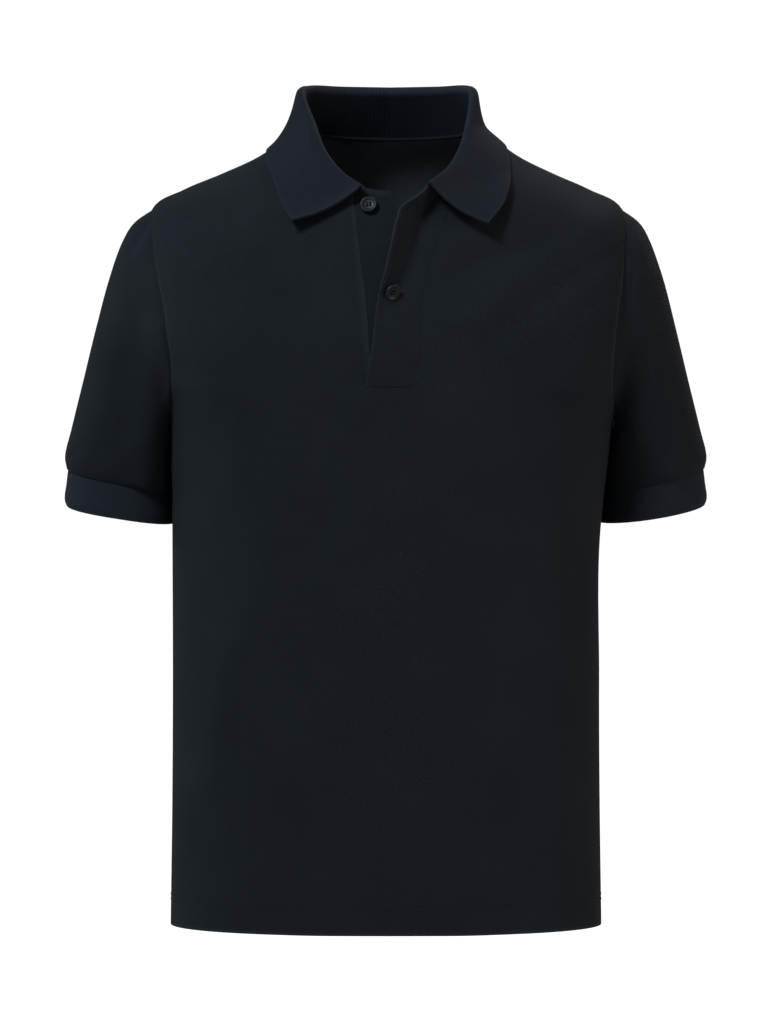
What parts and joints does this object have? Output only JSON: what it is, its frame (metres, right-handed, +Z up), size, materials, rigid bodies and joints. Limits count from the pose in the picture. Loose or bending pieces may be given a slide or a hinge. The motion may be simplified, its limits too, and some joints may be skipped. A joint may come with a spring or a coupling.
{
  "type": "polo_shirt",
  "caption": "Short-sleeved pique polo shirt for a child, worn form, with a rib collar, rib cuffs and an open buttoned placket",
  "frame": {"origin": "the centre of the neck opening, level with the shoulders, where the wearer holds the shirt up", "axes": "+X to the wearer's left, -Y to the front, +Z up"},
  "size_m": [0.4394, 0.1994, 0.572],
  "materials": {
    "pique": "matte pique knit, dark navy",
    "rib": "matte flat rib knit, dark navy",
    "button": "satin dyed polyester, dark navy"
  },
  "bodies": {
    "root": {"front": "pique", "back": "pique", "sleeve_left": "pique", "sleeve_right": "pique", "cuff_left": "rib", "cuff_right": "rib", "collar": "rib", "placket_under": "pique", "placket_over": "pique", "button_top": "button", "button_lower": "button"}
  },
  "joints": []
}
